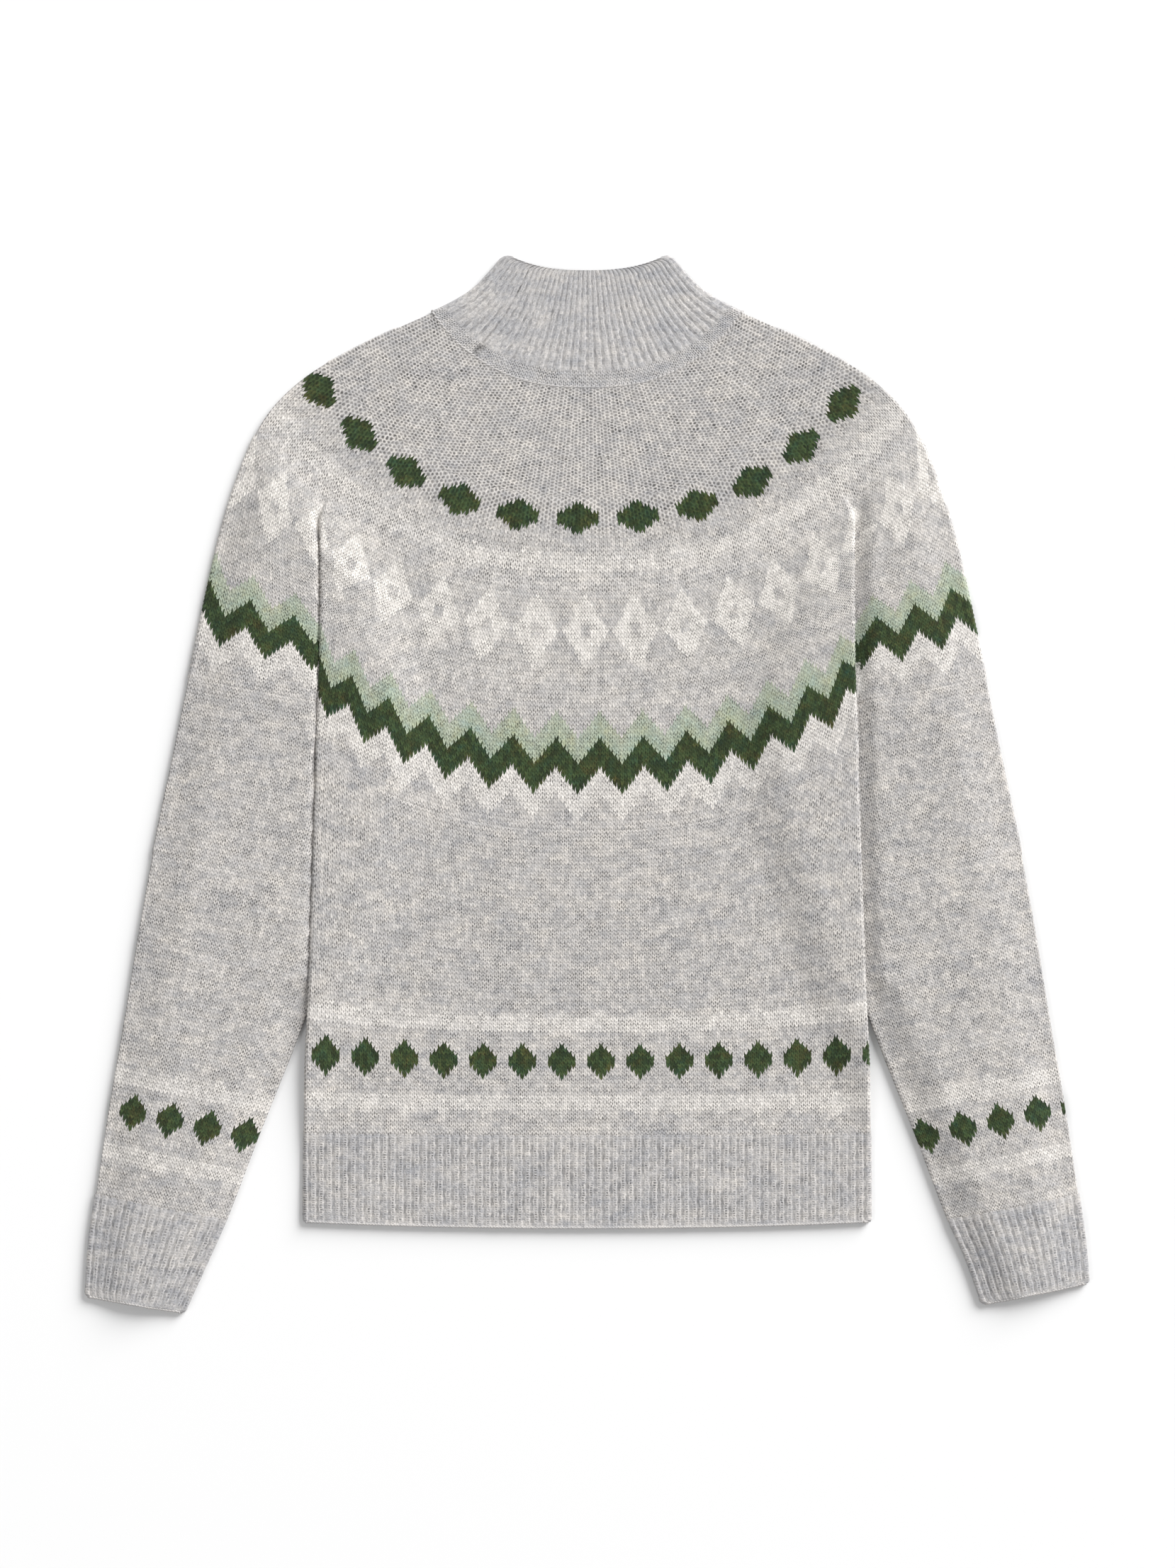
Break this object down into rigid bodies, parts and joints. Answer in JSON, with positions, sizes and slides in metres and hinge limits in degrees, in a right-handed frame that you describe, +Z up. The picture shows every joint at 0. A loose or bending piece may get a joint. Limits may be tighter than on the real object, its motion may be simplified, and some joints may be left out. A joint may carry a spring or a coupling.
{
  "type": "nordic yoke sweater, laid flat",
  "caption": "Round-yoke pullover with a ribbed mock neck, zigzag and diamond bands, ribbed cuffs and hem, laid flat on its front with the sleeves folded down.",
  "frame": {"origin": "on the surface the garment lies on, under the middle of its outline", "axes": "+Z up, out of the garment's back; +Y towards the collar; +X towards the wearer's right side, which is the right-hand side seen from above"},
  "size_m": [0.7112, 0.7476, 0.0098],
  "materials": {
    "plain_knit": "pale grey melange stocking stitch, matte, slightly hairy",
    "patterned_knit": "pale grey melange stocking stitch with white, light green and dark green patterning, matte",
    "ribbed_knit": "pale grey melange rib, matte"
  },
  "bodies": {
    "root": {"collar": "ribbed_knit", "yoke": "patterned_knit", "back_panel": "plain_knit", "front_panel": "plain_knit", "hem_back": "ribbed_knit", "hem_front": "ribbed_knit", "sleeve_left": "plain_knit", "sleeve_right": "plain_knit", "cuff_left": "ribbed_knit", "cuff_right": "ribbed_knit"}
  },
  "joints": []
}
